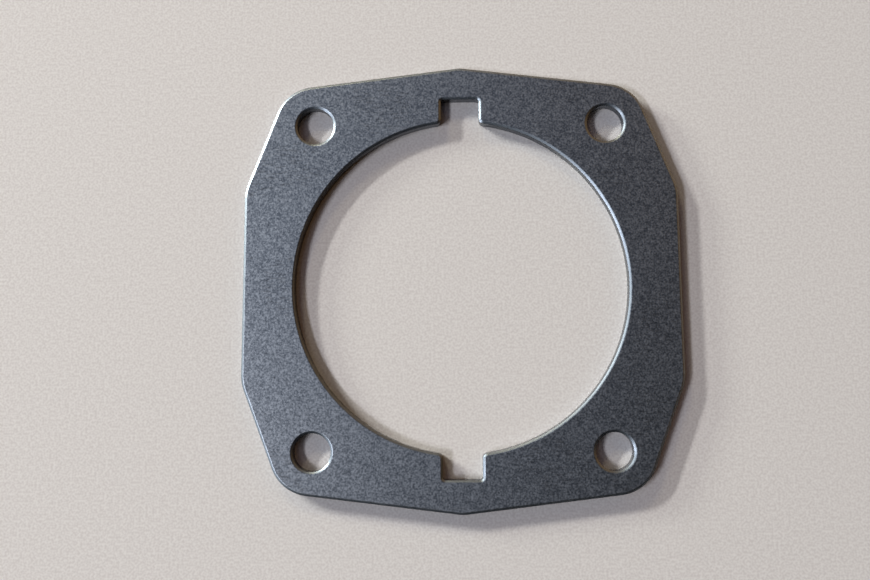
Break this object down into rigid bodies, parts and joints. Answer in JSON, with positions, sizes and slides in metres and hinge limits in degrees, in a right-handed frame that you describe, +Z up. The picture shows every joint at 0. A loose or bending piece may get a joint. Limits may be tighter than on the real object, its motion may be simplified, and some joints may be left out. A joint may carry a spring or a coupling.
{
  "type": "flange gasket",
  "caption": "Flat zinc-plated steel flange gasket with a large round bore, a square notch in the bore at each peak and a bolt hole in each rounded corner.",
  "frame": {"origin": "on the bore's axis, at the plate's underside, which is the middle of the bounding box's bottom", "axes": "+Z up through the sheet along the bore's axis, +Y towards a shallow peak with a notch, +X towards a straight side flat"},
  "size_m": [0.0998, 0.1022, 0.0025],
  "materials": {
    "zinc_plated_steel": "matte blue-grey zinc plating over sheet steel, fine pebbled grain, brighter on the punched edges"
  },
  "bodies": {
    "root": {"gasket_plate": "zinc_plated_steel"}
  },
  "joints": []
}
